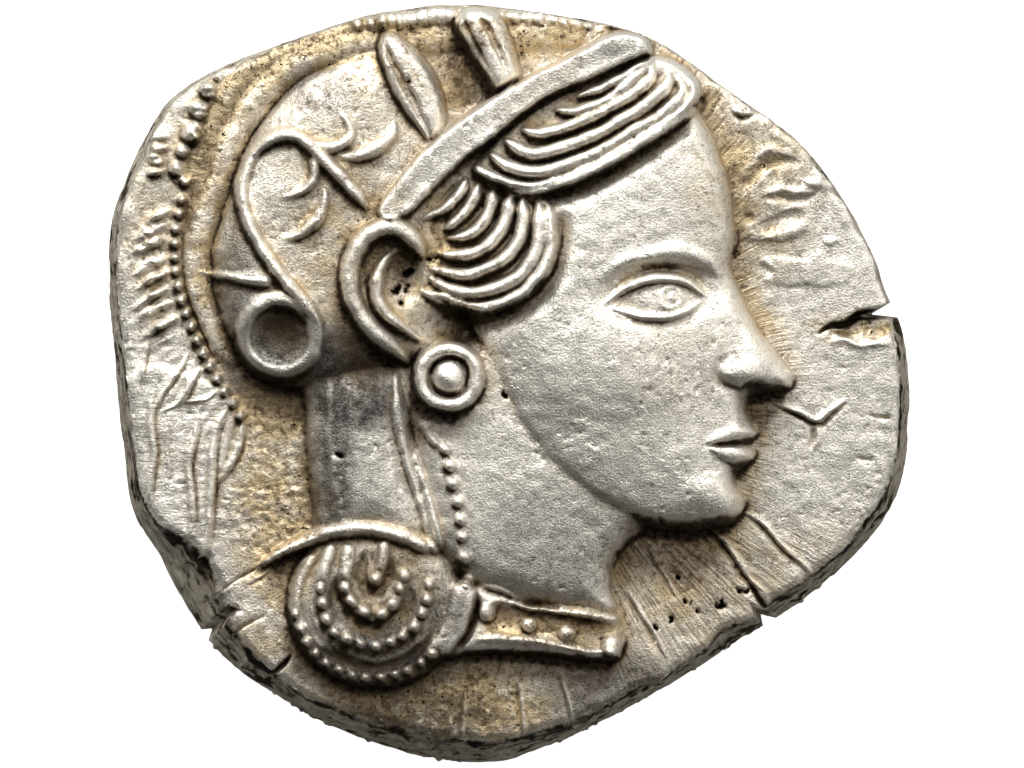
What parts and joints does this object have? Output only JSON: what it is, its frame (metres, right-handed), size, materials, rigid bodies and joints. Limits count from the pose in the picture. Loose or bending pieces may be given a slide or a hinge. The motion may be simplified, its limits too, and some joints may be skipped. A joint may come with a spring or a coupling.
{
  "type": "ancient coin",
  "caption": "Thick struck silver coin of irregular outline: helmeted head in high relief on one side, an owl in a sunk square on the other.",
  "frame": {"origin": "centre of the bounding box on the plane that the coin lies on", "axes": "+Z out of the obverse, which lies up; +Y towards the top of the helmet; +X the way the head looks"},
  "size_m": [0.025, 0.0238, 0.0054],
  "materials": {
    "silver": "aged silver, satin on the high points, toned brown in the recesses"
  },
  "bodies": {
    "root": {"coin": "silver"}
  },
  "joints": []
}
